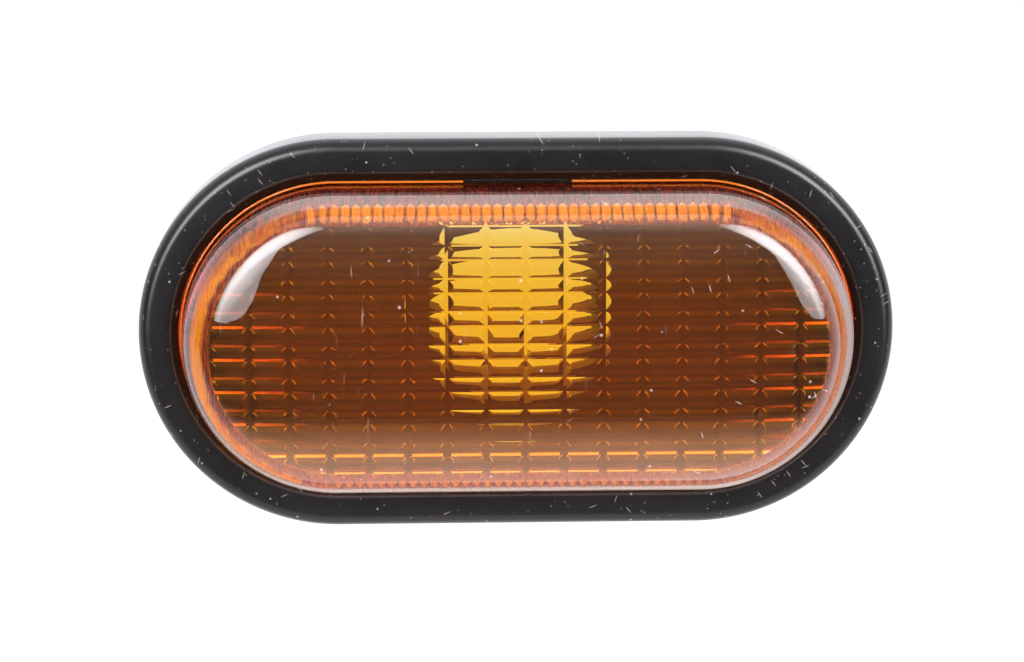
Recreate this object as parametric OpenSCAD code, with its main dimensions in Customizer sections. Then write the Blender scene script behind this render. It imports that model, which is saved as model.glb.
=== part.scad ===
// Side repeater lamp for a car's front wing.
// An amber lens is welded to a black housing, a rubber rim grips the welded flange, and a hook and a
// steel spring clip hold the lamp in an oval hole in the panel. The bulb opening at the back is open.
// Each module is drawn lying on the panel: X along the lamp, Y across it, Z out of the panel.
// upright() then stands it up, so that the lens faces -Y and the panel seat is the plane Y = 0.

/* [Oval] */
// Half the length of the straight stretch between the two round ends
half_straight = 20.5; // [16:0.5:30]

/* [Lens] */
// Half height of the dome where it rises from its flange
dome_r = 17.4; // [15.5:0.1:20]
// Height of the dome's front above the front of the rim
dome_height = 9; // [8:0.5:12]
// Lean of the dome's side wall, in degrees
dome_draft = 1.5; // [0.5:0.5:3]
// Radius of the rounding between the side wall and the front
dome_round = 5; // [3.5:0.25:5.5]
// Radius of the gentle crown across the dome's front
crown_r = 80; // [60:5:160]
// Thickness of the lens's front in the middle, at the ridges between its optics
lens_front = 2.6; // [2.4:0.1:3.2]
// Thickness of the lens's side wall
lens_wall = 1.9; // [1.5:0.1:2.4]
// Thickness of the flange round the lens
lens_flange = 1.3; // [1:0.1:1.8]
// Height of the bright bead that stands on the flange
bead_height = 0.35; // [0.2:0.05:0.5]
// Width of the bead
bead_width = 0.3; // [0.2:0.05:0.4]
// Length of the key notch in the upper edge of the flange
notch_length = 12.2; // [6:0.1:16]

/* [Optics] */
// Pitch of the pillow optics along the lamp
column_pitch = 4.36; // [3.5:0.01:6]
// Height of the taller rows of pillow optics
tall_row = 2.07; // [1.9:0.01:2.6]
// Height of the lower rows between them
low_row = 1.6; // [1.4:0.01:1.85]
// Width of the flat land along each ridge between the rows
row_land = 0.2; // [0.05:0.05:0.3]
// Width of the flat land along each ridge between the columns
column_land = 0.35; // [0.1:0.05:0.5]
// How far the columns sit to the right of the middle, as the photo shows
column_shift = 0.6; // [0:0.05:1]
// How far the rows sit above the middle
row_shift = 0.74; // [0:0.01:1]
// Depth of each pillow in the lens's inner face
pillow_depth = 0.18; // [0.1:0.01:0.3]
// Length of the sloped end of a pillow
pillow_end = 0.6; // [0.4:0.05:1.1]
// Slope length of the fluted band round the optics, measured across the lamp
flute_run = 1.5; // [1:0.1:1.8]
// Height of the fluted band
flute_rise = 2.2; // [1.8:0.1:3]
// Pitch of the flutes
flute_pitch = 1.2; // [1:0.05:2]
// Depth of the flutes
flute_depth = 0.55; // [0.25:0.05:0.6]
// Half the length of the fluted stretch
flute_half_length = 24; // [15:0.5:30]

/* [Rim] */
// Width of the rim's black front face
rim_face = 4.55; // [3:0.05:6]
// Height of the rim above the panel
rim_depth = 6; // [5.5:0.1:8]
// Radius on the rim's outer front edge
rim_round = 1.1; // [0.6:0.1:1.5]
// Gap between the dome and the rim, where the flange shows
rim_gap = 0.55; // [0.45:0.05:1]
// Depth of the flange below the rim's front
flange_sink = 0.8; // [0.6:0.1:1.2]
// How far the rim's lip covers the flange
lip_cover = 1.65; // [1:0.05:2]
// Width of the bevel round the rim's opening
rim_bevel = 0.4; // [0.2:0.1:0.6]
// Depth of the sealing groove in the rim's back
seal_groove = 0.9; // [0.5:0.1:1.2]
// Width of the sealing groove
seal_width = 1.8; // [1.2:0.1:2.4]

/* [Housing] */
// Thickness of the housing's walls
shell_wall = 1.8; // [1.2:0.1:2.2]
// Thickness of the housing's flange
shell_flange = 1.3; // [1:0.1:1.6]
// How far the housing's outside stands out from the hollow of the lens
shell_step = 1.3; // [1:0.1:1.6]
// Width and height of the welding tongue under the lens's wall
tongue = 0.6; // [0.4:0.1:0.7]
// Depth of the tub behind the panel
tub_depth = 7; // [5:0.5:9]
// Radius of the tub's back edge
tub_round = 1.2; // [0.5:0.1:2]
// Depth of the bulb neck's end behind the panel
neck_depth = 26.5; // [20:0.5:30]
// Radius of the bulb opening, which runs through the neck
bulb_hole_r = 10.1; // [8:0.1:11]
// Thickness of the neck
neck_wall = 1.6; // [1.2:0.1:2.2]
// Length of the thick collar at the neck's end
collar_length = 6.5; // [6:0.5:9]
// Thickness of the collar round its bayonet groove
collar_wall = 1.2; // [1:0.1:1.6]
// Width of the bayonet slots in the collar
slot_width = 4; // [2.5:0.25:5]
// Depth of the bayonet slots and of the groove that the lugs turn in
slot_depth = 1.1; // [0.8:0.1:1.3]
// Length of the slots, from the collar's end to the groove
slot_length = 2.4; // [2:0.1:3]
// Width of the groove along the neck
groove_width = 2; // [1.5:0.1:2.5]
// Thickness of the ribs that brace the neck
rib_wall = 1.4; // [1:0.1:1.8]
// Reach of the ribs from the neck along the tub's back
rib_reach = 8; // [5:0.5:10]
// Length of the ribs down the neck
rib_drop = 9; // [6:0.5:12]

/* [Fixing] */
// Thickest panel that the lamp grips
panel_grip = 1.2; // [0.8:0.1:1.6]
// Width of the hook and of the spring clip
clip_width = 10; // [6:0.5:12]
// How far the hook and the clip reach past the housing's side
clip_reach = 3; // [2.6:0.1:3]
// Thickness of the hook
hook_thick = 2; // [1.5:0.1:2.5]
// Thickness of the clip's steel
clip_steel = 0.5; // [0.4:0.05:0.6]
// Length of the clip's flat leg under the housing
clip_leg = 9; // [7:0.5:9.5]
// Side of the square window in the clip's leg
clip_window = 3; // [2:0.25:4]
// Thickness of the rails that hold the clip's leg
rail = 1.2; // [0.8:0.1:1.6]
// Radius of the step that rounds the clip's bends
clip_bend = 0.8; // [0.5:0.1:1]

/* [Hidden] */
$fn = 96;

// Cutting tools run past the surface that they cut by this much
past = 1;
// Share of a pillow's slope by which its pin runs on below the ridges
run_on = 0.1;
// Running clearance of a rubber or steel piece round what it grips
fit = 0.1;

// Heights above the panel seat, from the front to the back
front_z = rim_depth + dome_height;
flange_top = rim_depth - flange_sink;
weld_z = flange_top - lens_flange;
shell_top = weld_z;
shell_flange_z = shell_top - shell_flange;
ridge_z = front_z - lens_front;
flute_z = ridge_z - flute_rise;

// Offsets from the centre line of the oval
opening_r = dome_r + rim_gap;
rim_r = opening_r + rim_face;
flange_r = opening_r + lip_cover;
side_r = dome_r - (front_z - dome_round - flange_top) * tan(dome_draft);
round_r = side_r - dome_round;
round_z = front_z - crown_r + sqrt(pow(crown_r - dome_round, 2) - pow(round_r, 2));
cavity_r = dome_r - lens_wall;
field_r = cavity_r - flute_run;
shell_r = cavity_r + shell_step;
shell_in_r = shell_r - shell_wall;
neck_r = bulb_hole_r + neck_wall;
collar_r = bulb_hole_r + slot_depth + collar_wall;
bead_r = dome_r + rim_gap / 2;
tongue_r = dome_r + tongue;
hook_top = -panel_grip;

// Stands a piece up out of the plane of the panel
module upright() {
    rotate([90, 0, 0]) children();
}

// Carries a profile round an oval: its x is the offset from the centre line, its y the height
module oval_sweep(half = half_straight) {
    for (side = [-1, 1]) {
        translate([side * half, 0, 0])
            rotate([0, 0, -90 * side]) rotate_extrude(angle = 180) children();
    }
    for (side = [0, 1]) {
        mirror([0, side, 0]) translate([-half, 0, 0])
            rotate([90, 0, 90]) linear_extrude(2 * half) children();
    }
}

// A flat oval, from the straight half length and the radius of its ends
module oval(half, r) {
    square([2 * half, 2 * r], center = true);
    for (side = [-1, 1]) translate([side * half, 0]) circle(r);
}

// An oval block between two heights
module oval_block(half, r, z0, z1) {
    translate([0, 0, z0]) linear_extrude(z1 - z0) oval(half, r);
}

// Half section of the dome as a solid, with its flange and bead
module dome_profile() {
    crown_z = front_z - crown_r;
    lean = atan2(round_r, round_z - crown_z);
    beyond = [(crown_r + past) * sin(lean), crown_z + (crown_r + past) * cos(lean)];
    polygon([
        [0, weld_z], [flange_r, weld_z], [flange_r, flange_top], [dome_r, flange_top],
        [side_r, round_z], [round_r, round_z], [0, round_z]
    ]);
    intersection() {
        translate([0, crown_z]) circle(crown_r, $fn = 720);
        polygon([[0, round_z], [round_r, round_z], beyond, [0, front_z + past]]);
    }
    intersection() {
        translate([round_r, round_z]) circle(dome_round);
        polygon([
            [round_r, round_z], [side_r + past, round_z], [side_r + past, front_z + past], beyond
        ]);
    }
    translate([bead_r - bead_width / 2, flange_top - 0.1])
        square([bead_width, bead_height + 0.1]);
    translate([tongue_r, weld_z - tongue]) square([tongue, tongue + 0.1]);
}

// Half section of the hollow behind the dome, up to the ridges of the optics
module cavity_profile() {
    polygon([
        [0, weld_z - past], [cavity_r, weld_z - past], [cavity_r, flute_z],
        [field_r, ridge_z], [0, ridge_z]
    ]);
}

// Height of a round pillow over its ridges, at a distance from its middle, where half is half the row
function pillow(d, half) =
    let (radius = (half * half + pillow_depth * pillow_depth) / (2 * pillow_depth))
    sqrt(radius * radius - d * d) - (radius - pillow_depth);

// Pins that press the rows of pillows, tall and low in turn: round arcs, each of five straight facets
module row_pins() {
    pair = tall_row + low_row;
    pairs = ceil((field_r + row_shift) / pair);
    steps = [-1 - run_on, -0.72, -0.32, 0.32, 0.72, 1 + run_on];
    length = 2 * (half_straight + dome_r);
    translate([-length / 2, row_shift, 0]) rotate([90, 0, 90]) linear_extrude(length)
        for (row = [-pairs : pairs - 1], tall = [1, 0]) {
            row_half = (tall == 1 ? tall_row : low_row) / 2;
            half = row_half - row_land / 2;
            middle = row * pair + (tall == 1 ? row_half : tall_row + row_half);
            edge = half * (1 + run_on);
            polygon(concat(
                [for (step = steps) [middle + step * half, ridge_z + pillow(step * half, half)]],
                [[middle + edge, ridge_z - past], [middle - edge, ridge_z - past]]
            ));
        }
}

// Pins that press the columns of pillows: roofs with two sloped ends, and a flat land between each two
module column_pins() {
    columns = ceil((half_straight + field_r + column_shift) / column_pitch);
    foot = column_land / 2 - run_on * pillow_end;
    crest = column_land / 2 + 2 * pillow_end;
    low = ridge_z - run_on * pillow_depth;
    top = ridge_z + 2 * pillow_depth;
    translate([column_shift, dome_r, 0]) rotate([90, 0, 0]) linear_extrude(2 * dome_r)
        for (column = [-columns : columns - 1]) {
            start = column * column_pitch;
            end = start + column_pitch;
            polygon([
                [start + foot, ridge_z - past], [start + foot, low], [start + crest, top],
                [end - crest, top], [end - foot, low], [end - foot, ridge_z - past]
            ]);
        }
}

// All the pillows, as the solid that is cut out of the lens's front
module pillows() {
    intersection() {
        row_pins();
        column_pins();
        oval_block(half_straight, field_r - 0.1, ridge_z - past, front_z);
    }
}

// V flutes down the sloped band along one long side of the optics
module flutes() {
    lean = atan2(flute_run, flute_rise);
    slant = norm([flute_run, flute_rise]);
    count = floor(flute_half_length / flute_pitch);
    teeth = [
        for (tooth = [-count : count - 1], corner = [0, 1])
            [(tooth + corner / 2) * flute_pitch, corner * flute_depth - 0.05]
    ];
    end = count * flute_pitch;
    translate([0, cavity_r, flute_z]) rotate([lean, 0, 0]) linear_extrude(slant - 0.1)
        polygon(concat(teeth, [[end, -0.05], [end, -past], [-end, -past]]));
}

module lens() {
    upright() color([0.93, 0.42, 0.05, 0.75])
        difference() {
            oval_sweep() dome_profile();
            oval_sweep() cavity_profile();
            pillows();
            for (side = [0, 1]) mirror([0, side, 0]) flutes();
            translate([-notch_length / 2, bead_r - bead_width / 2, weld_z - past])
                cube([notch_length, lip_cover + rim_gap + past, lens_flange + bead_height + 2 * past]);
        }
}

// Half section of the rim: a lip over the flange, a channel that grips it and a grooved back
module rim_profile() {
    edge = rim_r - rim_round;
    difference() {
        union() {
            polygon([
                [shell_r + fit, 0], [rim_r, 0], [rim_r, rim_depth - rim_round],
                [edge, rim_depth - rim_round], [edge, rim_depth],
                [opening_r + rim_bevel, rim_depth], [opening_r, rim_depth - rim_bevel],
                [opening_r, flange_top], [shell_r + fit, shell_flange_z]
            ]);
            intersection() {
                translate([edge, rim_depth - rim_round]) circle(rim_round);
                translate([edge - 0.01, rim_depth - rim_round - 0.01]) square(rim_round + 0.02);
            }
        }
        translate([0, shell_flange_z])
            square([flange_r + fit, flange_top - shell_flange_z]);
        translate([(shell_r + rim_r - seal_width) / 2, -past]) square([seal_width, past + seal_groove]);
    }
}

module rim_gasket() {
    tab_in = bead_r + bead_width / 2;
    upright() color([0.13, 0.13, 0.14]) {
        oval_sweep() rim_profile();
        translate([fit - notch_length / 2, tab_in, weld_z])
            cube([notch_length - 2 * fit, flange_r + 2 * fit - tab_in, lens_flange]);
    }
}

// The hole through the neck, with two slots and a groove that take and lock the lugs of a bulb holder
module bulb_opening() {
    translate([0, 0, -neck_depth - past])
        cylinder(r = bulb_hole_r, h = neck_depth + past);
    translate([0, 0, -neck_depth + slot_length])
        cylinder(r = bulb_hole_r + slot_depth, h = groove_width);
    translate([0, 0, -neck_depth + (slot_length + fit - past) / 2])
        cube([2 * (bulb_hole_r + slot_depth), slot_width, slot_length + fit + past], center = true);
}

// Neck that carries the bulb holder, with a thick collar at its end
module neck() {
    translate([0, 0, -neck_depth]) {
        cylinder(r = neck_r, h = neck_depth - tub_depth + fit);
        cylinder(r = collar_r, h = collar_length);
    }
}

// Thin ribs that brace the neck against the tub's back, along the lamp and across it
module ribs() {
    top = -tub_depth + fit;
    for (turn = [0 : 90 : 270]) rotate([0, 0, turn])
        translate([0, rib_wall / 2, 0]) rotate([90, 0, 0]) linear_extrude(rib_wall)
            polygon([
                [neck_r - fit, top],
                [neck_r + (turn % 180 == 0 ? rib_reach : shell_r - neck_r - tub_round), top],
                [neck_r + fit, -tub_depth - rib_drop],
                [neck_r - fit, -tub_depth - rib_drop]
            ]);
}

// Guide rails and snap nib that hold the clip's leg under the tub
module clip_seat() {
    under = -tub_depth;
    below = under - clip_steel - fit;
    leg_end = shell_r + half_straight;
    inner = clip_width / 2 - rail;
    slot_side = clip_width / 2 + fit;
    nib = clip_window / 2 - 2 * fit;
    for (side = [0, 1]) mirror([0, side, 0])
        translate([leg_end - clip_leg, 0, 0]) rotate([90, 0, 90]) linear_extrude(clip_leg - past)
            polygon([
                [slot_side, under + fit], [slot_side + rail, under + fit], [slot_side + rail, below - rail],
                [inner, below - rail], [inner, below], [slot_side, below]
            ]);
    translate([leg_end - clip_leg / 2, nib, 0]) rotate([90, 0, 0]) linear_extrude(2 * nib)
        polygon([[-nib, under + fit], [nib, under + fit], [nib, under], [-nib, under - 2 * clip_steel]]);
}

// Hook that catches behind the panel at the other end, with a lead-in under its tip
module hook() {
    root = half_straight + shell_r;
    inside = shell_wall / 3;
    lead = hook_thick / 2;
    foot = hook_top - hook_thick - inside;
    translate([-root, clip_width / 2, 0]) rotate([90, 0, 0]) linear_extrude(clip_width)
        polygon([
            [inside, hook_top], [-clip_reach, hook_top], [-clip_reach, hook_top - hook_thick + lead],
            [-clip_reach + lead, hook_top - hook_thick], [inside, foot]
        ]);
}

// Half section of a tub with a rounded back edge: its reach, its two heights and its radius
module tub_profile(r, back, front, round) {
    polygon([
        [0, back], [r - round, back], [r - round, back + round], [r, back + round], [r, front], [0, front]
    ]);
    intersection() {
        translate([r - round, back + round]) circle(round);
        translate([r - round - 0.01, back]) square([round + 0.01, round + 0.01]);
    }
}

module housing() {
    floor_z = -tub_depth;
    upright() color([0.10, 0.10, 0.11]) {
        difference() {
            union() {
                oval_block(half_straight, flange_r, shell_flange_z, shell_top);
                oval_sweep() tub_profile(shell_r, floor_z, shell_top, tub_round);
                neck();
                ribs();
            }
            oval_block(half_straight, shell_in_r, floor_z + shell_wall, shell_top + past);
            oval_sweep() translate([tongue_r - fit, shell_top - tongue - fit])
                square([tongue + 2 * fit, tongue + fit + past]);
            bulb_opening();
        }
        clip_seat();
        hook();
    }
}

// Offset corner of a bent strip, where side is 1 for one face of the strip and -1 for the other
function across(v) = [-v[1], v[0]] / norm(v);
function corner(path, i, side) =
    let (
        before = across(path[max(i, 1)] - path[max(i, 1) - 1]),
        after = across(path[min(i + 1, len(path) - 1)] - path[min(i, len(path) - 2)])
    )
    path[i] + side * clip_steel / 2 * (before + after) / (1 + before * after);

module spring_clip() {
    side = half_straight + shell_r;
    under = -tub_depth - clip_steel / 2;
    tip = side + clip_reach - clip_steel / 2;
    crest = -panel_grip - clip_bend;
    path = [
        [side - clip_leg, under], [side + clip_steel, under],
        [side + clip_bend + clip_steel, under + clip_steel],
        [tip - fit, crest - clip_bend / 2], [tip, crest], [tip - clip_bend / 2, crest + clip_bend / 2],
        [side + clip_steel + 2 * fit, crest + 2 * clip_bend]
    ];
    last = len(path) - 1;
    upright() color([0.72, 0.72, 0.70])
        difference() {
            translate([0, clip_width / 2, 0]) rotate([90, 0, 0]) linear_extrude(clip_width)
                polygon(concat(
                    [for (i = [0 : last]) corner(path, i, 1)],
                    [for (i = [last : -1 : 0]) corner(path, i, -1)]
                ));
            translate([side - (clip_leg + clip_window) / 2, -clip_window / 2, under - past])
                cube([clip_window, clip_window, 2 * past]);
        }
}

rim_gasket();
lens();
housing();
spring_clip();
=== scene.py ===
"""Looks of the side repeater lamp: amber lens, black rubber rim, black housing and steel clip."""

import math
from functools import cached_property

import bmesh
import bpy
import numpy as np
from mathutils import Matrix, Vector


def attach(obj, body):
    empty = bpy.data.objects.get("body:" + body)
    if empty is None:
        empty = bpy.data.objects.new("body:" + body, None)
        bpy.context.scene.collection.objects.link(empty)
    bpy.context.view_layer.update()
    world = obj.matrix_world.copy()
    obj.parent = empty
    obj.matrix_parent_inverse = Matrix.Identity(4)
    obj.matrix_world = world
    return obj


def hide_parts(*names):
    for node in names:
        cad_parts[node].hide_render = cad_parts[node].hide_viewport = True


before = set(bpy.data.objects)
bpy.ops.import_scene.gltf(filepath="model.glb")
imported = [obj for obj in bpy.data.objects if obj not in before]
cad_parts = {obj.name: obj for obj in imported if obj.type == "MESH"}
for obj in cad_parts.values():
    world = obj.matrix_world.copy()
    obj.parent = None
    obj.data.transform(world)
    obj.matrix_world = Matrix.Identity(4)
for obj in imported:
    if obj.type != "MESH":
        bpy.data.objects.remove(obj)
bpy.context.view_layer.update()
MM = 0.001

# The lamp's own sizes in millimetres. A name that ends in R is an offset from the oval's centre
# line, and heights run out of the panel, towards the viewer.
HALF = 20.5  # half of the oval's straight stretch
DOME_R = 17.4
DRAFT = math.tan(math.radians(1.5))  # lean of the dome's wall
ROUND = 5.0  # rounding between the dome's wall and its front
CROWN = 80.0  # radius of the dome's front
RIM_DEPTH = 6.0
FRONT = RIM_DEPTH + 9.0
FLANGE_TOP = RIM_DEPTH - 0.8
WELD = FLANGE_TOP - 1.3  # where the lens's flange meets the housing's
SHELL_BACK = WELD - 1.3  # back of the housing's flange
RIM_GAP = 0.55
OPENING_R = DOME_R + RIM_GAP
RIM_R = OPENING_R + 4.55
FLANGE_R = OPENING_R + 1.65
RIM_ROUND = 1.4
CAVITY_R = DOME_R - 1.9
FIELD_R = CAVITY_R - 1.5  # edge of the pillow optics
SHELL_R = CAVITY_R + 1.3
RIDGE = FRONT - 2.6  # height of the ridges between the pillows
BAND_RISE = 2.2
BAND_FOOT = RIDGE - BAND_RISE
NOTCH = 12.2
BEAD_R = DOME_R + RIM_GAP / 2
BEAD_W = 0.3
BEAD_H = 0.35
COLUMN = 4.36  # pitch of the pillows along the lamp
COLUMN_SHIFT = 0.6
COLUMN_LAND = 0.35
TALL_ROW = 2.07
LOW_ROW = 1.6
PERIOD = TALL_ROW + LOW_ROW
ROW_SHIFT = 0.74
ROW_LAND = 0.2
PILLOW = 0.18  # depth of a pillow
PILLOW_END = 0.6  # length of its sloped end
FLUTE = 1.2
FLUTE_DEPTH = 0.55
FLUTE_COUNT = 20  # flutes on each side of the middle
FIT = 0.1  # clearance of the rubber round the flanges
LIP_GAP = 0.02  # the rubber's lip stays this far off the lens's flange
NECK_TOP = -5.6  # the bulb neck lies below this height
NECK_R = 10.5

# How the meshes are cut. Steep walls are this wide, and lines closer than LINE_GAP become one.
STEEP = 0.02
LINE_GAP = 0.012
ARC_STEPS = np.array([-1, -0.86, -0.62, -0.32, 0, 0.32, 0.62, 0.86, 1])
PATTERN = np.arange(-9, 9)[:, None]  # numbers of the rows and columns that cover the lens


# Mesh helpers


def upright(points):
    """Points drawn lying on the panel, in mm, stood up in metres.

    The point (x, y, height) becomes (x, -height, y).
    """
    points = np.asarray(points, float)
    return np.stack([points[..., 0], -points[..., 2], points[..., 1]], axis=-1) * MM


def make_piece(name, points, faces, sharp_deg):
    """A closed mesh from points and faces in mm.

    Doubles are merged, normals point out, and edges are sharp past an angle in degrees.
    """
    mesh = bpy.data.meshes.new(name)
    mesh.from_pydata(upright(points).tolist(), [], faces)
    work = bmesh.new()
    work.from_mesh(mesh)
    bmesh.ops.remove_doubles(work, verts=work.verts, dist=2e-6)
    bmesh.ops.dissolve_degenerate(work, edges=work.edges, dist=1e-7)
    bmesh.ops.recalc_face_normals(work, faces=work.faces)
    work.to_mesh(mesh)
    work.free()
    mesh.shade_smooth()
    mesh.set_sharp_from_angle(angle=math.radians(sharp_deg))
    return add_object(name, mesh)


def add_object(name, data):
    """An object with this mesh, light or camera, at the scene's origin."""
    thing = bpy.data.objects.new(name, data)
    bpy.context.scene.collection.objects.link(thing)
    return thing


def grid_faces(rows, columns, closed, first=0):
    """Quads of a grid of points numbered row by row, whose columns close into a ring if asked."""
    spans = columns if closed else columns - 1
    r, c = np.meshgrid(np.arange(rows - 1), np.arange(spans), indexing="ij")
    here, after = r * columns + c, r * columns + (c + 1) % columns
    quads = np.stack([here, after, after + columns, here + columns], -1)
    return (quads.reshape(-1, 4) + first).tolist()


def arc(centre, radius, start_deg, end_deg, count):
    """Points of an arc in a profile, each (offset, height), from one angle to another."""
    angle = np.radians(np.linspace(start_deg, end_deg, count))
    return np.stack([centre[0] + radius * np.cos(angle), centre[1] + radius * np.sin(angle)], -1)


def oval_perimeter(lines):
    """Centre-line points and outward normals round the oval, in mm, for these mesh lines.

    A line u with |u| up to HALF is the place x = u on the two long sides. Past that it stands for
    an angle of the round end, with |u| = HALF + sin(angle).
    """
    over = np.clip(np.abs(lines) - HALF, 0, 1)
    centre = np.clip(lines, -HALF, HALF)
    top = np.stack([centre, np.sign(lines) * over, np.sqrt(1 - over**2)], axis=-1)
    bottom = top[-2:0:-1] * [1, 1, -1]
    return np.vstack([top, bottom])


def sweep(profile, around):
    """A profile of (offset, height) carried round the oval.

    Each point is centre + offset * normal, at the profile's height.
    """
    offset, height = profile[:, 0][:, None], profile[:, 1][:, None]
    x = around[None, :, 0] + offset * around[None, :, 1]
    y = offset * around[None, :, 2]
    return np.stack([x, y, np.broadcast_to(height, x.shape)], axis=-1)


# The lens


def pillow_height(x, y):
    """Height of the optics over the ridges: the lower of a roof along x and a round arc along y.

    Rows are tall and low in turn. In a row that is half as high as h, between its lands, the arc
    at a distance d from the row's middle stands sqrt(R^2 - d^2) - (R - depth), where
    R = (h^2 + depth^2) / (2 depth).
    """
    along = np.abs(((x - COLUMN_SHIFT) / COLUMN + 0.5) % 1 - 0.5) * COLUMN
    roof = np.clip(along - COLUMN_LAND / 2, 0, None) * PILLOW / PILLOW_END
    place = (y - ROW_SHIFT) % PERIOD
    tall = place < TALL_ROW
    width = np.where(tall, TALL_ROW, LOW_ROW)
    half = (width - ROW_LAND) / 2
    across = np.minimum(np.abs(place - np.where(tall, 0, TALL_ROW) - width / 2), half)
    radius = (half**2 + PILLOW**2) / (2 * PILLOW)
    return np.minimum(roof, np.sqrt(radius**2 - across**2) - (radius - PILLOW))


def row_lines():
    """The y of the mesh lines over the optics: nine across each row, from land to land."""
    cell = np.concatenate([
        start + width / 2 + ARC_STEPS * (width - ROW_LAND) / 2
        for start, width in ((0, TALL_ROW), (TALL_ROW, LOW_ROW))])
    lines = (ROW_SHIFT + PATTERN * PERIOD + cell[None, :]).ravel()
    inner = lines[np.abs(lines) < FIELD_R - STEEP]
    return np.concatenate([[-FIELD_R], inner, [FIELD_R]])


def nearest(lines, others):
    """How far each line lies from the nearest of the others."""
    return np.min(np.abs(lines[:, None] - others[None, :]), axis=1)


def optic_lines():
    """The x of the mesh lines over the optics.

    The flutes and the notch must have theirs. The pillows' ends give way to these, and the lines
    of the round ends and of the steep walls give way to the pillows, but not at the very ends.
    """
    hips = COLUMN_LAND / 2 + PILLOW_END * (1 - ARC_STEPS[:5] ** 2)
    plain = 1.5
    cell = np.concatenate([hips, [plain, COLUMN / 2, COLUMN - plain], COLUMN - hips[::-1]])
    ridges = (COLUMN_SHIFT + PATTERN * COLUMN + cell[None, :]).ravel()
    tip = HALF + FIELD_R - 0.3
    ridges = ridges[np.abs(ridges) < tip]
    halves = 2 * FLUTE_COUNT
    flutes = np.arange(-halves, halves + 1) * FLUTE / 2
    must = np.concatenate([flutes, [NOTCH / 2, -NOTCH / 2]])
    ends = HALF + FIELD_R * np.sin(np.radians(np.linspace(0, 90, 41)))
    steep = np.array([FLUTE_COUNT * FLUTE, NOTCH / 2]) + STEEP
    may = np.concatenate([steep, -steep, ends, -ends])
    may = may[(nearest(may, ridges) > LINE_GAP) | (np.abs(may) >= tip)]
    ridges = ridges[nearest(ridges, must) > LINE_GAP]
    lines = np.sort(np.concatenate([ridges, must, may]))
    return lines[np.concatenate([[True], np.diff(lines) > 1e-6])]


def flute_push(x):
    """How far the flutes cut outwards from the band: a triangle wave along the lamp."""
    tooth = (1 - 2 * np.abs((x / FLUTE) % 1 - 0.5)) * FLUTE_DEPTH
    return np.where(np.abs(x) <= FLUTE_COUNT * FLUTE + 1e-6, tooth, 0.0)


def lens_profile():
    """Offsets and heights from the band's foot down inside, round the flange and over the dome."""
    side = DOME_R - (FRONT - ROUND - FLANGE_TOP) * DRAFT
    inner = side - ROUND
    crown_z = FRONT - CROWN
    round_z = crown_z + math.sqrt((CROWN - ROUND) ** 2 - inner**2)
    lean = math.degrees(math.atan2(inner, round_z - crown_z))
    bead_in, bead_out = BEAD_R - BEAD_W / 2, BEAD_R + BEAD_W / 2
    root_r = 0.15
    cavity = [(CAVITY_R, height) for height in (8.0, 6.0, WELD)]
    flange = [(CAVITY_R + 1, WELD), (FLANGE_R, WELD), (FLANGE_R, WELD + 0.5),
              (FLANGE_R, FLANGE_TOP), (bead_out + 0.4, FLANGE_TOP), (bead_out, FLANGE_TOP)]
    bead = arc((BEAD_R, FLANGE_TOP + BEAD_H - BEAD_W / 2), BEAD_W / 2, 0, 180, 7)
    root = arc((DOME_R + root_r, FLANGE_TOP + root_r), root_r, 270, 180, 4)
    wall = [(DOME_R - (height - FLANGE_TOP) * DRAFT, height) for height in (6.0, 7.0, 8.0)]
    edge = arc((inner, round_z), ROUND, 0, 90 - lean, 18)
    crown = arc((0, crown_z), CROWN, 90 - lean, 90, 12)[1:]
    return np.vstack([cavity, flange, bead, [(bead_in, FLANGE_TOP)], root, wall, edge, crown])


def soften_hips(mesh):
    """Rounds the shading of the pillows' hips, the only edges of the optics that run aslant."""
    ends, corners = np.empty(2 * len(mesh.edges), int), np.empty(3 * len(mesh.vertices))
    mesh.edges.foreach_get("vertices", ends)
    mesh.vertices.foreach_get("co", corners)
    one, two = corners.reshape(-1, 3)[ends.reshape(-1, 2)].transpose(1, 0, 2) / MM
    gap = np.abs(one - two)
    height = -np.stack([one[:, 1], two[:, 1]])
    hair = 0.001
    inside = ((height > RIDGE - hair) & (height < RIDGE + PILLOW + hair)).all(axis=0)
    aslant = (gap[:, [0, 2]] > 2 * hair).all(axis=1)
    sharp = np.empty(len(mesh.edges), bool)
    mark = mesh.attributes["sharp_edge"].data
    mark.foreach_get("value", sharp)
    mark.foreach_set("value", sharp & ~(inside & aslant))


def optic_grid(lines):
    """Points of the optics: a height over a grid that is drawn back to the oval at its ends.

    There the grid's outermost points lie at y = sqrt(r^2 - over^2).
    """
    over = np.clip(np.abs(lines) - HALF, 0, FIELD_R)
    reach = np.sqrt(FIELD_R**2 - over**2)
    x, y = np.meshgrid(lines, row_lines(), indexing="xy")
    y = np.clip(y, -reach[None, :], reach[None, :])
    return np.stack([x, y, RIDGE + pillow_height(x, y)], axis=-1)


def split_quads(quads, corners):
    """Each quad of the optics cut along the diagonal whose middle lies nearer to their surface."""
    middle = corners[quads].mean(axis=1)
    true_z = RIDGE + pillow_height(middle[:, 0], middle[:, 1])
    one, two = [np.abs(corners[quads[:, pair], 2].mean(axis=1) - true_z)
                for pair in ([0, 2], [1, 3])]
    halves = np.where((one <= two)[:, None, None], quads[:, [[0, 1, 2], [0, 2, 3]]],
                      quads[:, [[1, 2, 3], [1, 3, 0]]])
    return halves.reshape(-1, 3).tolist()


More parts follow.
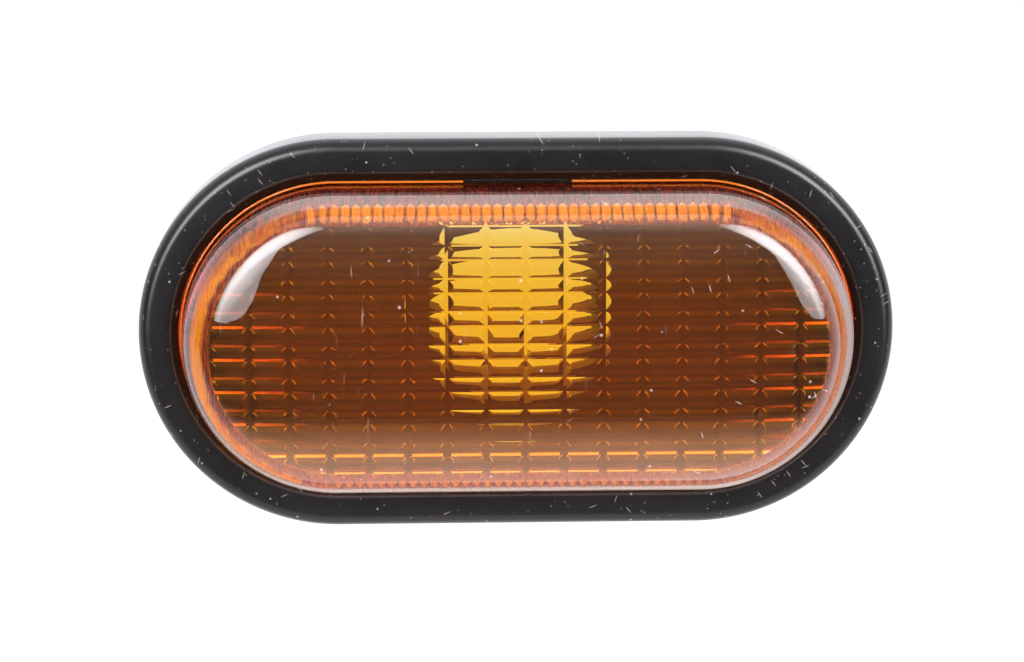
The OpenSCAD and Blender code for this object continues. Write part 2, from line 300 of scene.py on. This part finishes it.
def band_rings(around):
    """Rings of the sloped band, from the optics' edge to its foot, pushed out by the flutes."""
    lean = math.atan2(CAVITY_R - FIELD_R, BAND_RISE)
    edge_x = around[:, 0] + FIELD_R * around[:, 1]
    edge_z = RIDGE + pillow_height(edge_x, FIELD_R * around[:, 2])
    push = flute_push(edge_x)
    rings = []
    for step, depth in ((0, 0), (0.04, 1), (0.2, 1), (0.4, 1), (0.6, 1), (0.8, 1), (1, 1), (1, 0)):
        offset = FIELD_R + (CAVITY_R - FIELD_R) * step + depth * push * math.cos(lean)
        height = edge_z * (1 - step) + BAND_FOOT * step + depth * push * math.sin(lean)
        x, y = around[:, 0] + offset * around[:, 1], offset * around[:, 2]
        rings.append(np.stack([x, y, height], -1))
    return np.stack(rings)


def outer_rings(around):
    """Rings of the lens's wall, flange and dome, with the key notch cut into the upper edge."""
    profile = lens_profile()
    rings = sweep(profile, around)
    limit = BEAD_R - BEAD_W / 2
    beyond = (rings[..., 1] > limit) & (profile[:, 0][:, None] > limit)
    cut = beyond & (np.abs(rings[..., 0]) < NOTCH / 2 + STEEP / 2)
    rings[..., 1] = np.where(cut, limit, rings[..., 1])
    rings[..., 2] = np.where(cut, np.minimum(rings[..., 2], FLANGE_TOP), rings[..., 2])
    return rings


def build_lens():
    """The lens as one closed shell: the optics' grid, the fluted band, the walls and the dome."""
    lines = optic_lines()
    turn = np.abs(lines) - HALF
    around = oval_perimeter(np.where(turn > 0, np.sign(lines) * (HALF + turn / FIELD_R), lines))
    field = optic_grid(lines)
    corners = field.reshape(-1, 3)
    rings = np.vstack([band_rings(around), outer_rings(around)])
    quads = np.array(grid_faces(*field.shape[:2], False))
    faces = split_quads(quads, corners) + grid_faces(*rings.shape[:2], True, len(corners))
    piece = make_piece("amber_lens", np.vstack([corners, rings.reshape(-1, 3)]), faces, 13)
    soften_hips(piece.data)
    return piece


# The rubber rim


def rim_profile():
    """Closed outline of the rim's section.

    It runs up the opening's face, over a small bevel and a slightly swelling top, round the outer
    edge, and back along the grooved seal and the channel that holds the flanges.
    """
    edge = RIM_R - RIM_ROUND
    lip_z = FLANGE_TOP + LIP_GAP
    bevel_z, bevel_r = RIM_DEPTH - 0.62, 0.12
    face = [(OPENING_R, lip_z), (OPENING_R, bevel_z)]
    inner = arc((OPENING_R + bevel_r, bevel_z), bevel_r, 180, 125, 4)
    across = np.linspace(OPENING_R + 0.95, edge - 0.4, 7)
    swell = 0.05 * np.sin(np.pi * (across - OPENING_R) / (RIM_R - OPENING_R))
    top = np.vstack([[(OPENING_R + 0.80, RIM_DEPTH - 0.09)],
                     np.stack([across, RIM_DEPTH - 0.05 + swell], -1)])
    outer = arc((edge, RIM_DEPTH - RIM_ROUND), RIM_ROUND, 90, 0, 12)
    heel_r = 0.25
    back = [(RIM_R, 3.0), (RIM_R, heel_r)]
    heel = arc((RIM_R - heel_r, heel_r), heel_r, 0, -90, 5)
    groove, groove_half, groove_depth, taper = (SHELL_R + RIM_R) / 2, 0.9, 0.9, 0.1
    seal = [(groove + groove_half, 0), (groove + groove_half - taper, groove_depth),
            (groove - groove_half + taper, groove_depth), (groove - groove_half, 0)]
    channel = [(SHELL_R + FIT, 0), (SHELL_R + FIT, SHELL_BACK), (FLANGE_R + FIT, SHELL_BACK),
               (FLANGE_R + FIT, lip_z)]
    return np.vstack([face, inner, top, outer, back, heel, seal, channel])


def build_rim():
    """The rim: its section swept round the oval, and closed from its last point to its first."""
    turn = np.sin(np.radians(np.linspace(0, 90, 49)))
    straight = np.linspace(-HALF, HALF, 60)[1:-1]
    around = oval_perimeter(np.concatenate([-HALF - turn[::-1], straight, HALF + turn]))
    shell = sweep(rim_profile(), around)
    rows, columns = shell.shape[:2]
    ring = np.arange(columns)
    after, last = (ring + 1) % columns, (rows - 1) * columns
    closing = np.stack([last + ring, last + after, after, ring], -1)
    faces = grid_faces(rows, columns, True) + closing.tolist()
    return make_piece("rubber_rim", shell.reshape(-1, 3), faces, 40)


# Shader maths


class Value:
    """An output socket, whose operators add Math nodes to its material."""

    def __init__(self, made, socket):
        self.made, self.socket = made, socket

    def _math(self, operation, other=0.0, swap=False):
        pair = (other, self) if swap else (self, other)
        sockets = {0: pair[0], 1: pair[1]}
        return self.made.node("ShaderNodeMath", {"operation": operation}, sockets)["Value"]

    def __add__(self, other):
        return self._math("ADD", other)

    def __sub__(self, other):
        return self._math("SUBTRACT", other)

    def __rsub__(self, other):
        return self._math("SUBTRACT", other, swap=True)

    def __mul__(self, other):
        return self._math("MULTIPLY", other)

    def __mod__(self, other):
        return self._math("FLOORED_MODULO", other)

    def __abs__(self):
        return self._math("ABSOLUTE")

    __radd__ = __add__
    __rmul__ = __mul__

    def above(self, level):
        return self._math("GREATER_THAN", level)

    def most(self, other):
        return self._math("MAXIMUM", other)

    def power(self, exponent):
        return self._math("POWER", exponent)


class Finish:
    """A material or a world under construction, with one method that adds any node."""

    def __init__(self, name, world=None):
        owner = world or bpy.data.materials.new(name)
        owner.use_nodes = True
        self.owner, self.tree = owner, owner.node_tree
        self.tree.nodes.clear()
        kind = "ShaderNodeOutputWorld" if world else "ShaderNodeOutputMaterial"
        self.out = self.tree.nodes.new(kind)

    def node(self, kind, settings=None, sockets=None):
        """Adds a node: settings first, then each socket's value or link. Returns its outputs."""
        node = self.tree.nodes.new(kind)
        for key, value in (settings or {}).items():
            setattr(node, key, value)
        for key, value in (sockets or {}).items():
            self.feed(node.inputs[key], value)
        return {output.name: Value(self, output) for output in node.outputs if output.enabled}

    def feed(self, socket, value):
        """Links a Value to the socket, or sets a constant on it."""
        if isinstance(value, Value):
            self.tree.links.new(value.socket, socket)
        else:
            socket.default_value = value

    def surface(self, shader):
        """Ends the material with this shader."""
        self.feed(self.out.inputs["Surface"], shader)
        return self.owner

    # Places

    @cached_property
    def place(self):
        """The place on the object, in metres."""
        return self.node("ShaderNodeTexCoord")["Object"]

    @cached_property
    def axes(self):
        """The place in millimetres: along the lamp, out of the panel, and up."""
        split = self.node("ShaderNodeSeparateXYZ", {}, {"Vector": self.place})
        return split["X"] * 1000, split["Y"] * -1000, split["Z"] * 1000

    @cached_property
    def offset(self):
        """How far the place lies from the oval's centre line, in mm.

        That is sqrt(max(|x| - half, 0)^2 + z^2).
        """
        along, _, up = self.axes
        over = (abs(along) - HALF).most(0.0)
        return (over * over + up * up).power(0.5)

    def stretched(self, scale, turn=(0.0, 0.0, 0.0)):
        """The place, turned and then scaled along each axis."""
        return self.node("ShaderNodeMapping", {}, {
            "Vector": self.place, "Scale": scale, "Rotation": turn})["Vector"]

    # Amounts from 0 to 1

    def ramp(self, value, low, high):
        """0 below low, 1 above high, straight between."""
        return self.node("ShaderNodeMapRange", {"clamp": True}, {
            "Value": value, "From Min": low, "From Max": high})["Result"]

    def fade(self, value, low, high):
        """1 below low, 0 above high, straight between."""
        return 1 - self.ramp(value, low, high)

    def band(self, value, rise, fall):
        """0 to 1 between the two numbers of rise, and back to 0 between those of fall."""
        return self.ramp(value, *rise) * self.fade(value, *fall)

    def noise(self, scale, detail=3.0, rough=0.5, at=None):
        """Cloudy noise with this many cells to the metre."""
        return self.node("ShaderNodeTexNoise", {}, {
            "Vector": at or self.place, "Scale": scale, "Detail": detail,
            "Roughness": rough})["Fac"]

    def specks(self, scale, size, share, at=None, dimensions="3D"):
        """1 on small round specks, one in this share of the cells of a Voronoi pattern."""
        cells = self.node(
            "ShaderNodeTexVoronoi", {"feature": "F1", "voronoi_dimensions": dimensions},
            {"Vector": at or self.place, "Scale": scale})
        lone = self.node("ShaderNodeSeparateColor", {}, {"Color": cells["Color"]})["Red"]
        near = self.fade(cells["Distance"], size * 0.5, size)
        return near * self.fade(lone, share, share + 0.01)

    def lint(self, *turns):
        """1 on a few short fibres that lie across the lamp's front, at these angles in radians."""
        length, width = 0.008, 0.0008
        laid = [self.node("ShaderNodeMapping", {"vector_type": "TEXTURE"}, {
            "Vector": self.place, "Rotation": (math.pi / 2, -turn, 0),
            "Scale": (length, width, 1)})["Vector"] for turn in turns]
        return sum(self.specks(1.0, 0.07, 0.06, at, "2D") for at in laid)

    # Colours and shaders

    def blend(self, amount, one, two):
        """Colour one where amount is 0 and two where it is 1, by the Mix node's colour sockets."""
        made = self.tree.nodes.new("ShaderNodeMix")
        made.data_type = "RGBA"
        factor, first, second, result = 0, 6, 7, 2
        for number, value in ((factor, amount), (first, one), (second, two)):
            self.feed(made.inputs[number], value)
        return Value(self, made.outputs[result])

    def mix(self, amount, one, two):
        """Shader one where amount is 0 and two where it is 1."""
        return self.node("ShaderNodeMixShader", {}, {0: amount, 1: one, 2: two})["Shader"]

    def bump(self, strength, distance, height):
        return self.node("ShaderNodeBump", {}, {
            "Strength": strength, "Distance": distance, "Height": height})["Normal"]

    def principled(self, **sockets):
        """A Principled shader: _ in a keyword stands for the space in a socket's name."""
        named = {name.replace("_", " "): value for name, value in sockets.items()}
        return self.node("ShaderNodeBsdfPrincipled", {}, named)["BSDF"]

    def matt(self, colour):
        return self.node("ShaderNodeBsdfDiffuse", {}, {"Color": colour})["BSDF"]

    def clear(self, colour=(1, 1, 1, 1)):
        return self.node("ShaderNodeBsdfTransparent", {}, {"Color": colour})["BSDF"]

    def glow(self, colour, strength):
        """Light of one colour and strength, from a surface or from the world."""
        kind = "Background" if isinstance(self.owner, bpy.types.World) else "Emission"
        return self.node("ShaderNode" + kind, {}, {"Color": colour, "Strength": strength})[kind]


# Materials. Heights, offsets and places along and up are in mm, amounts run from 0 to 1.

WHITE = (1, 1, 1, 1)


def film_and_painted_reflection(made, cloud):
    """How much pale film covers the dome: lint, dust and scratches, a faint even layer, and a
    painted reflection.

    The painted reflection is pale light on the lower wall, at the foot and at the brow, and it
    thickens towards the lower edge.
    """
    along, height, up = made.axes
    wall = made.fade(height, 9.0, FRONT - 1.5) * made.fade(up, 3.0, 13.0)
    low = made.fade(up, -17.2, -8.0)
    foot = made.fade(up, -15.8, -15.2)
    brow = made.ramp(up, 13.5, 16.0) * made.ramp(height, 9.5, 11.5)
    lint = made.lint(0.6, -0.5, 1.9) * made.ramp(along, 0.0, 14.0)
    # Painted reflection: the wall, low, foot and brow terms add pale light where the dome mirrors
    # the white table and backdrop; the lint is real.
    painted_reflection_and_lint = wall * 0.045 + lint * 0.30 + low * low * 0.08 + foot * 0.05 + brow * 0.085 + 0.004
    dust = made.specks(900, 0.20, 0.05) * 0.5 + made.specks(330, 0.10, 0.04) * 0.6
    across = made.stretched((6.0, 6.0, 0.35), (0, 0.45, 0))
    scratches = made.ramp(made.noise(420, 2.0, 0.4, across), 0.72, 0.80)
    return painted_reflection_and_lint * (0.6 + cloud * 0.8) + dust * 0.5 + scratches * 0.10


def painted_land_light(made, body, pale, warm):
    """The body with painted refracted light on the lands under the pillows' rows: warm at the
    ends, pale low down.
    """
    along, height, up = made.axes
    land = 0.17
    under_tall = made.fade((up - ROW_SHIFT + land) % PERIOD, 0.28, 0.34)
    under_low = made.fade((up - ROW_SHIFT - TALL_ROW + land) % PERIOD, 0.28, 0.34)
    between = made.ramp((along - COLUMN_SHIFT + 0.5) % COLUMN, 0.9, 1.0)
    behind = made.fade(height, RIDGE + 0.5, RIDGE + 0.6)
    optics = between * behind * made.fade(made.offset, FIELD_R - 0.1, FIELD_R)
    ends = made.ramp(abs(along), 23.0, 33.0) * made.band(up, (-11.0, -10.0), (3.0, 8.0))
    lower = made.fade(up, -11.4, -10.8)
    body = made.mix(optics * ends * (under_low * 0.45 + under_tall * 0.15), body, warm)
    return made.mix(optics * lower * under_low.most(under_tall), body, pale)


def amber_acrylic():
    """Clear amber acrylic: glass of index 1.49, tinted by depth, with a clear pale shadow.

    Inside, the flutes' grooves are streaked brown, and the optics' lands carry painted refracted
    light. The bead is painted deep orange, a painted glow of light carried in the amber, and the
    welded face is pale. On the dome lie a painted grey reflection towards the right end, a painted
    warm glow low down, and a film of lint, dust, scratches and a faint even layer with a painted
    pale reflection.
    """
    made = Finish("amber_acrylic")
    along, height, up = made.axes
    offset = made.offset
    weld, pale, warm, reflection_grey, edge, brown = [made.matt(colour) for colour in (
        (0.95, 0.8, 0.5, 1), (1.0, 0.84, 0.76, 1), (1.0, 0.42, 0.17, 1),
        (0.30, 0.24, 0.23, 1), (0.62, 0.16, 0.02, 1), (0.45, 0.16, 0.04, 1))]
    cloud = made.noise(260, 4.0, 0.6)
    streaks = made.noise(1.0, 3.0, 0.6, made.stretched((6500, 500, 420)))
    ripple = made.noise(700, 2.0, 0.5)

    wall = CAVITY_R + 0.5, CAVITY_R + 0.6
    front = made.ramp(height, RIDGE + 0.6, RIDGE + 0.7)
    outside = made.ramp(offset, *wall) * made.ramp(height, FLANGE_TOP + 1.2, FLANGE_TOP + 2.0)
    dome = front.most(outside)
    grooves = made.band(offset, (FIELD_R - 0.3, FIELD_R), wall) * made.fade(
        height, RIDGE + 0.4, RIDGE + 0.6)
    on_bead = made.band(offset, (BEAD_R - 0.15, BEAD_R - 0.08), (BEAD_R + 0.08, BEAD_R + 0.15))
    above_flange = height - FLANGE_TOP
    bead = on_bead * made.band(above_flange, (0.1, 0.2), (0.5, 0.6))
    fused = made.fade(height, WELD + 0.03, WELD + 0.06)
    # Painted light: a warm orange glow low on the dome, standing for light scattered inside the
    # lens.
    painted_low_glow = dome * made.band(up, (-21.0, -12.5), (-10.8, -7.0)) * (0.07 + cloud * 0.06)
    # Painted reflection: grey on the dome's wall, stronger towards the right end, where the wall
    # mirrors the white backdrop.
    painted_right_reflection = dome * made.fade(height, 13.0, 13.8) * made.fade(up, 6.0, 14.0) * (
        0.04 + 0.58 * made.ramp(along, 10.0, 25.0))

    bump = made.bump(1.0, 0.000004, streaks * grooves * 5 + ripple * 0.5)
    glass = made.principled(Base_Color=WHITE, Roughness=0.0, IOR=1.49, Transmission_Weight=1.0,
                            Normal=bump)
    body = made.mix(made.ramp(streaks, 0.42, 0.68) * grooves * 0.5, glass, brown)
    # Painted glow: the bead is painted deep orange, standing for light carried along inside the
    # amber.
    body = made.mix(bead * 0.7, body, edge)
    # Painted light on the optics' lands: warm at the ends and pale low down.
    body = painted_land_light(made, body, pale, warm)
    body = made.mix(painted_low_glow, made.mix(fused, body, weld), warm)
    body = made.mix(dome * film_and_painted_reflection(made, cloud), made.mix(painted_right_reflection, body, reflection_grey), pale)
    tint = made.node("ShaderNodeVolumeAbsorption", {}, {
        "Color": (0.992, 0.825, 0.05, 1), "Density": 1700.0})["Volume"]
    made.feed(made.out.inputs["Volume"], tint)
    cast = made.node("ShaderNodeLightPath")["Is Shadow Ray"]
    return made.surface(made.mix(cast, body, made.clear((0.98, 0.88, 0.55, 1))))


def black_rubber():
    """Satin black rubber with a fine grain, dust and lint, painted shade that darkens and browns
    the opening's face, and a painted highlight along the bevel.
    """
    made = Finish("black_rubber")
    offset = made.offset
    grain = made.noise(9000, 4.0)
    patches = made.noise(140, 4.0, 0.6)
    dust = made.specks(2600, 0.30, 0.06) * 0.5 + made.specks(1300, 0.22, 0.05)
    lint = made.lint(0.4, -0.9, 1.3, 2.2)
    bevel = OPENING_R + 0.70, OPENING_R + 0.80
    # Painted shade: the opening's face is darker and browner.
    shaded_lip = made.fade(offset, *bevel)
    # Painted highlight: a lighter line along the bevel's upper edge, where it catches light.
    edge_highlight = made.band(offset, bevel, (OPENING_R + 0.92, OPENING_R + 1.0))
    base = made.blend(patches, (0.004, 0.004, 0.0045, 1), (0.008, 0.0075, 0.008, 1))
    base = made.blend(shaded_lip, base, (0.004, 0.0025, 0.002, 1))
    base = made.blend(edge_highlight * patches, base, (0.035, 0.028, 0.024, 1))
    colour = made.blend(dust + lint * 0.8, base, (0.22, 0.21, 0.20, 1))
    return made.surface(made.principled(
        Base_Color=colour, Roughness=0.24 + patches * 0.08 + shaded_lip * 0.15, IOR=1.38,
        Normal=made.bump(0.25, 0.00002, grain)))


def black_plastic():
    """Black moulded plastic with a fine spark-eroded grain.

    Inside the tub it is paler and browner, and the lower wall of the bulb neck is tan.
    """
    made = Finish("black_plastic")
    along, height, up = made.axes
    grain = made.noise(6000, 3.0)
    cloud = made.noise(90, 3.0)
    tub = height.above(NECK_TOP)
    inside = (1 - made.offset.above(SHELL_R - 0.9)) * tub
    radius = (along * along + up * up).power(0.5)
    neck = (1 - tub) * (1 - radius.above(NECK_R)) * made.fade(up, -7.0, 2.0)
    black = made.blend(cloud, (0.014, 0.014, 0.015, 1), (0.026, 0.026, 0.028, 1))
    # The inside of the tub is paler and browner than the outside.
    paler_inside = made.blend(cloud, (0.046, 0.036, 0.029, 1), (0.074, 0.058, 0.046, 1))
    colour = made.blend(neck, made.blend(inside, black, paler_inside), (0.34, 0.25, 0.17, 1))
    return made.surface(made.principled(
        Base_Color=colour, Roughness=0.72 + cloud * 0.12, Specular_IOR_Level=0.2,
        Normal=made.bump(0.35, 0.00003, grain)))


def spring_steel():
    """Rolled spring steel, with rolling lines along the strip."""
    made = Finish("spring_steel")
    lines = made.noise(900, 4.0, 0.6, made.stretched((0.15, 0.15, 6.0)))
    colour = made.blend(lines, (0.25, 0.25, 0.245, 1), (0.35, 0.35, 0.34, 1))
    return made.surface(made.principled(
        Base_Color=colour, Metallic=1.0, Roughness=0.22 + lines * 0.16))


def give(piece, material):
    """Makes this the piece's only material."""
    piece.data.materials.clear()
    piece.data.materials.append(material)


lens = build_lens()
give(lens, amber_acrylic())
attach(lens, "root")
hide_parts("lens")

rim = build_rim()
give(rim, black_rubber())
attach(rim, "root")
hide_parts("rim_gasket")

give(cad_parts["housing"], black_plastic())
give(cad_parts["spring_clip"], spring_steel())


# Studio. Lengths are in metres, strengths and powers as Blender takes them.

CENTRE = (0, 0, 0)


def paper():
    """White paper, lit past white near the lamp.

    The camera sees it plain and nearly all white. Other rays see it glow, less so through the
    lens, and fade out forwards.
    """
    made = Finish("white_paper")
    path = made.node("ShaderNodeLightPath")
    shown = made.mix(0.8, made.matt((0.8, 0.8, 0.8, 1)), made.glow(WHITE, 1.0))
    lit, lower = [made.glow((1, 0.97, 0.96, 1), strength) for strength in (1.9, 0.95)]
    lit = made.mix(path["Is Transmission Ray"], lit, lower)
    front = made.node("ShaderNodeSeparateXYZ", {}, {"Vector": made.place})["Y"]
    unseen = made.mix(made.ramp(front, -0.095, -0.045), made.clear(), lit)
    return made.surface(made.mix(path["Is Camera Ray"], unseen, shown))


def make_floor():
    """A white table below the lamp that ends a hand's width in front of it."""
    mesh = bpy.data.meshes.new("floor")
    side, front, level = 1.5, -0.10, -0.05
    corners = [(-side, front), (side, front), (side, side), (-side, side)]
    mesh.from_pydata([(*corner, level) for corner in corners], [], [(0, 1, 2, 3)])
    floor = add_object("floor", mesh)
    give(floor, paper())


def make_world():
    """A surround that is white behind the lamp and dim in front, and plain white to the camera.

    Mirrors see it brighter behind the lamp.
    """
    world = bpy.data.worlds.new("studio")
    bpy.context.scene.world = world
    made = Finish("studio", world)
    way = made.node("ShaderNodeTexCoord")["Generated"]
    split = made.node("ShaderNodeSeparateXYZ", {}, {"Vector": way})
    behind = made.ramp(split["Y"], -0.25, 0.15)
    above = made.ramp(split["Z"], -0.02, 0.35)
    path = made.node("ShaderNodeLightPath")
    mirrored = path["Is Glossy Ray"] * (1 - path["Is Transmission Ray"]) * behind
    dim, sky, mirror = [made.glow((0.95, 0.97, 1, 1), strength) for strength in (0.05, 1.2, 2.4)]
    unseen = made.mix(mirrored, made.mix(behind.most(above), dim, sky), mirror)
    made.surface(made.mix(path["Is Camera Ray"], unseen, made.glow(WHITE, 1.0)))


def aim(thing, target):
    """Turns a lamp, a card or a camera to look at a point."""
    away = np.array(thing.location) - np.array(target)
    thing.rotation_euler = Vector(away).to_track_quat("Z", "Y").to_euler()


def direction(azimuth, elevation, distance):
    """The place at this distance, azimuth degrees to the right and elevation degrees up."""
    a, e = math.radians(azimuth), math.radians(elevation)
    out = np.array([math.sin(a) * math.cos(e), -math.cos(a) * math.cos(e), math.sin(e)])
    return out * distance


def reflector(name, place, half_w, half_h, roll, strength):
    """The rounded front of a softbox, which only reflections show, brightest in its middle.

    Its outline is a superellipse: x = w * sign(cos a) * |cos a|^0.35, and y alike with the sine.
    """
    count, square = 64, 0.35
    angle = np.linspace(0, 2 * np.pi, count, endpoint=False)
    outline = [half * np.sign(turn) * np.abs(turn) ** square
               for half, turn in ((half_w, np.cos(angle)), (half_h, np.sin(angle)))]
    mesh = bpy.data.meshes.new(name)
    mesh.from_pydata(np.stack([*outline, 0 * angle], axis=-1).tolist(), [], [list(range(count))])
    card = add_object(name, mesh)
    card.location = place
    aim(card, CENTRE)
    card.rotation_euler.rotate_axis("Z", math.radians(roll))
    made = Finish(name)
    spread = made.node("ShaderNodeVectorMath", {"operation": "LENGTH"}, {
        0: made.stretched((1 / half_w, 1 / half_h, 1))})["Value"]
    core, fringe = [made.glow((0.97, 0.97, 1, 1), share * strength) for share in (1.15, 0.25)]
    front = made.mix(made.ramp(spread.power(2.0), 0.0, 1.2), core, fringe)
    path = made.node("ShaderNodeLightPath")
    shown = path["Is Glossy Ray"] * (1 - 0.4 * path["Is Transmission Ray"])
    give(card, made.surface(made.mix(shown, made.clear(), front)))


def softbox(name, place, width, height, power):
    """A rectangular area lamp that faces the middle, and that no camera or mirror sees."""
    light = bpy.data.lights.new(name, "AREA")
    light.shape = "RECTANGLE"
    light.size, light.size_y, light.energy = width, height, power
    lamp = add_object(name, light)
    lamp.location = place
    aim(lamp, CENTRE)
    lamp.visible_camera = False
    lamp.visible_glossy = False
    lamp.visible_transmission = False


def make_camera():
    """The camera at the photograph's angle: a little to the left and above.

    The centre pixel is where the lamp's origin falls in the frame.
    """
    distance, pixels_per_mm = 0.3, 8.64
    frame_w, frame_h, centre_x, centre_y = 1024, 662, 516, 324
    data = bpy.data.cameras.new("camera")
    camera = add_object("camera", data)
    camera.location = direction(-2.0, 12.9, distance)
    aim(camera, CENTRE)
    data.sensor_fit = "HORIZONTAL"
    data.sensor_width = 36.0
    data.lens = data.sensor_width * distance / MM * pixels_per_mm / frame_w
    data.shift_x = (frame_w / 2 - centre_x) / frame_w
    data.shift_y = (centre_y - frame_h / 2) / frame_w
    bpy.context.scene.camera = camera


make_floor()
make_world()
for side, azimuth in ((-1, 25), (1, 31)):
    softbox("side_box", direction(24 * side, 15, 0.8), 0.36, 0.56, 6)
    card_place = direction(azimuth * side, 16, 0.79)
    reflector("side_reflector", card_place, 0.17, 0.325, 14 * side, 24)
softbox("top_box", (0.0, 0.2, 0.8), 0.9, 0.5, 8)
make_camera()

scene = bpy.context.scene
scene.view_settings.view_transform = "Standard"
